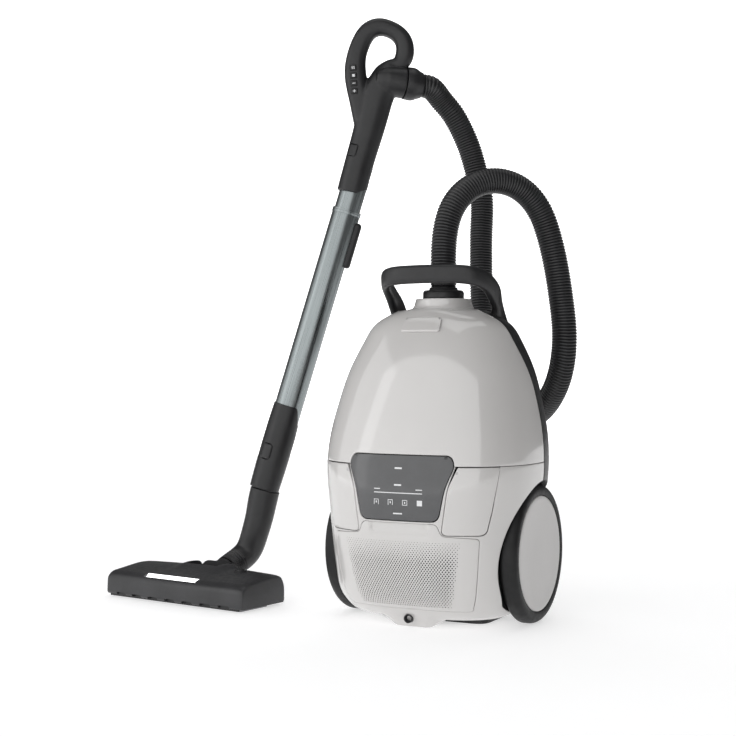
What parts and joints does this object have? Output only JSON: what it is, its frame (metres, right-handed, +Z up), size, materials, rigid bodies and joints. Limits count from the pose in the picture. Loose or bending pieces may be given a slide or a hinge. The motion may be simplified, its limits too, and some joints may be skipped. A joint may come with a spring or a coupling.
{
  "type": "canister vacuum cleaner with wand and power nozzle",
  "caption": "Canister vacuum cleaner parked on its end, with ribbed hose, loop grip, telescopic wand and lit power nozzle; lid, pedals, wheels, caster and nozzle move.",
  "frame": {"origin": "on the floor under the middle of the standing foot, in the plane of symmetry of the canister", "axes": "+Z up, +X to the right of the canister seen from its lid side, -Y the side of the lid and control panel, +Y the underside with the caster"},
  "size_m": [0.6748, 0.4391, 0.8842],
  "materials": {
    "anodised_tube": "satin",
    "bag_fleece": "matte",
    "black_plastic": "satin",
    "brush_bristle": "matte",
    "circuit_board": "satin",
    "dark_panel": "satin",
    "filter_fleece": "matte",
    "hose_plastic": "satin",
    "inner_grey": "matte",
    "lamp_lens": "gloss",
    "steel_pin": "satin",
    "tyre_rubber": "matte",
    "white_shell": "satin"
  },
  "bodies": {
    "canister": {"chassis_shell": "black_plastic", "body_shell": "white_shell", "control_panel": "dark_panel", "inlet_collar": "white_shell", "hose_connector": "black_plastic", "hose": "hose_plastic", "hose_cuff": "black_plastic", "carry_handle": "black_plastic", "wheel_axle_left": "steel_pin", "wheel_axle_right": "steel_pin", "standing_foot": "black_plastic", "cord_outlet": "black_plastic", "bulkhead": "inner_grey", "motor_housing": "inner_grey", "motor_filter": "filter_fleece", "exhaust_filter": "filter_fleece", "circuit_board": "circuit_board", "dust_bag": "bag_fleece", "bag_holder": "inner_grey"},
    "lid": {"dust_lid": "white_shell"},
    "latch": {"lid_latch": "white_shell"},
    "left_pedal": {"pedal_left": "white_shell"},
    "right_pedal": {"pedal_right": "white_shell"},
    "rear_cover": {"exhaust_cover": "white_shell"},
    "connector_left": {"connector_button_left": "black_plastic"},
    "connector_right": {"connector_button_right": "black_plastic"},
    "left_wheel": {"wheel_tyre_left": "tyre_rubber", "wheel_hub_left": "white_shell"},
    "right_wheel": {"wheel_tyre_right": "tyre_rubber", "wheel_hub_right": "white_shell"},
    "caster_swivel": {"caster_fork": "black_plastic", "caster_pin": "steel_pin"},
    "caster_roll": {"caster_wheel": "tyre_rubber"},
    "rotor": {"fan_rotor": "steel_pin"},
    "reel": {"cord_reel": "inner_grey"},
    "handle": {"grip_handle": "black_plastic", "inner_tube": "anodised_tube"},
    "key_1": {"grip_key_1": "dark_panel"},
    "key_2": {"grip_key_2": "dark_panel"},
    "key_3": {"grip_key_3": "dark_panel"},
    "key_4": {"grip_key_4": "dark_panel"},
    "grip_release": {"grip_release_button": "black_plastic"},
    "lower_wand": {"outer_tube": "anodised_tube", "tube_collar": "black_plastic", "wand_sleeve": "black_plastic", "neck_pipe": "black_plastic"},
    "telescope_release": {"telescope_slider": "black_plastic"},
    "sleeve_release": {"sleeve_button": "black_plastic"},
    "yoke": {"swivel_yoke": "black_plastic"},
    "nozzle": {"nozzle_body": "black_plastic", "sole_plate": "inner_grey", "brush_motor": "inner_grey", "drive_belt": "tyre_rubber", "light_bar": "lamp_lens"},
    "brush": {"brush_roll": "brush_bristle"},
    "left_roller": {"nozzle_wheel_left": "tyre_rubber"},
    "right_roller": {"nozzle_wheel_right": "tyre_rubber"},
    "mode_key": {"mode_button": "black_plastic"}
  },
  "joints": [
    {"name": "lid_hinge", "type": "hinge", "parent": "canister", "child": "lid", "pos_m": [0, -0.153, 0.228], "axis": [1, 0, 0], "range_deg": [0, 75]},
    {"name": "latch_hinge", "type": "hinge", "parent": "lid", "child": "latch", "pos_m": [0, -0.08521, 0.39588], "axis": [1, 0, 0], "range_deg": [0, 15], "stiffness_Nm_per_rad": 0.05, "springref_deg": -20.05},
    {"name": "left_pedal_press", "type": "slide", "parent": "canister", "child": "left_pedal", "axis": [0, 1, 0], "range_m": [0, 0.005], "stiffness_N_per_m": 2000, "springref_m": -0.003},
    {"name": "right_pedal_press", "type": "slide", "parent": "canister", "child": "right_pedal", "axis": [0, 1, 0], "range_m": [0, 0.005], "stiffness_N_per_m": 2000, "springref_m": -0.003},
    {"name": "exhaust_cover_hinge", "type": "hinge", "parent": "canister", "child": "rear_cover", "pos_m": [0, -0.12562, 0.025], "axis": [1, 0, 0], "range_deg": [0, 70]},
    {"name": "connector_left_press", "type": "slide", "parent": "canister", "child": "connector_left", "axis": [1, 0, 0], "range_m": [0, 0.0012], "stiffness_N_per_m": 400, "springref_m": -0.002},
    {"name": "connector_right_press", "type": "slide", "parent": "canister", "child": "connector_right", "axis": [-1, 0, 0], "range_m": [0, 0.0012], "stiffness_N_per_m": 400, "springref_m": -0.002},
    {"name": "left_wheel_spin", "type": "hinge", "parent": "canister", "child": "left_wheel", "pos_m": [-0.1435, 0, 0.095], "axis": [1, 0, 0], "continuous": true},
    {"name": "right_wheel_spin", "type": "hinge", "parent": "canister", "child": "right_wheel", "pos_m": [0.1435, 0, 0.095], "axis": [1, 0, 0], "continuous": true},
    {"name": "caster_turn", "type": "hinge", "parent": "canister", "child": "caster_swivel", "pos_m": [0, 0.09645, 0.345], "axis": [0, 1, 0], "continuous": true},
    {"name": "caster_spin", "type": "hinge", "parent": "caster_swivel", "child": "caster_roll", "pos_m": [0, 0.11995, 0.335], "axis": [1, 0, 0], "continuous": true},
    {"name": "rotor_spin", "type": "hinge", "parent": "canister", "child": "rotor", "pos_m": [-0.054, -0.012, 0.17], "axis": [0, 0, 1], "continuous": true},
    {"name": "reel_spin", "type": "hinge", "parent": "canister", "child": "reel", "pos_m": [0.04, -0.012, 0.105], "axis": [1, 0, 0], "continuous": true},
    {"name": "cuff_swivel", "type": "hinge", "parent": "canister", "child": "handle", "pos_m": [-0.144, 0.168, 0.7855], "axis": [0.7492, 0.6521, -0.116], "range_deg": [-8, 25]},
    {"name": "key_1_press", "type": "slide", "parent": "handle", "child": "key_1", "axis": [-0.454, 0.891, 0], "range_m": [0, 0.0012], "stiffness_N_per_m": 400, "springref_m": -0.002},
    {"name": "key_2_press", "type": "slide", "parent": "handle", "child": "key_2", "axis": [-0.454, 0.891, 0], "range_m": [0, 0.0012], "stiffness_N_per_m": 400, "springref_m": -0.002},
    {"name": "key_3_press", "type": "slide", "parent": "handle", "child": "key_3", "axis": [-0.454, 0.891, 0], "range_m": [0, 0.0012], "stiffness_N_per_m": 400, "springref_m": -0.002},
    {"name": "key_4_press", "type": "slide", "parent": "handle", "child": "key_4", "axis": [-0.454, 0.891, 0], "range_m": [0, 0.0012], "stiffness_N_per_m": 400, "springref_m": -0.002},
    {"name": "grip_release_press", "type": "slide", "parent": "handle", "child": "grip_release", "axis": [0.3308, 0.9195, -0.2123], "range_m": [0, 0.0012], "stiffness_N_per_m": 400, "springref_m": -0.002},
    {"name": "telescope", "type": "slide", "parent": "handle", "child": "lower_wand", "axis": [-0.2545, -0.1297, -0.9583], "range_m": [0, 0.26]},
    {"name": "telescope_release_slide", "type": "slide", "parent": "lower_wand", "child": "telescope_release", "axis": [0.2545, 0.1297, 0.9583], "range_m": [0, 0.006], "stiffness_N_per_m": 400, "springref_m": -0.003},
    {"name": "sleeve_release_press", "type": "slide", "parent": "lower_wand", "child": "sleeve_release", "axis": [0.0675, 0.9862, -0.1514], "range_m": [0, 0.0012], "stiffness_N_per_m": 400, "springref_m": -0.002},
    {"name": "neck_turn", "type": "hinge", "parent": "lower_wand", "child": "yoke", "pos_m": [-0.37274, 0.01711, 0.038], "axis": [0.1475, 0.9314, 0.3328], "range_deg": [-60, 60]},
    {"name": "nozzle_tilt", "type": "hinge", "parent": "yoke", "child": "nozzle", "pos_m": [-0.37806, -0.01647, 0.026], "axis": [0.9877, -0.1564, 0], "range_deg": [-60, 15]},
    {"name": "brush_spin", "type": "hinge", "parent": "nozzle", "child": "brush", "pos_m": [-0.38838, -0.08166, 0.0185], "axis": [0.9877, -0.1564, 0], "continuous": true},
    {"name": "left_roller_spin", "type": "hinge", "parent": "nozzle", "child": "left_roller", "pos_m": [-0.47493, -0.00163, 0.012], "axis": [0.9877, -0.1564, 0], "continuous": true},
    {"name": "right_roller_spin", "type": "hinge", "parent": "nozzle", "child": "right_roller", "pos_m": [-0.28134, -0.03229, 0.012], "axis": [0.9877, -0.1564, 0], "continuous": true},
    {"name": "mode_key_press", "type": "slide", "parent": "nozzle", "child": "mode_key", "axis": [0, 0, -1], "range_m": [0, 0.003], "stiffness_N_per_m": 400, "springref_m": -0.002}
  ]
}
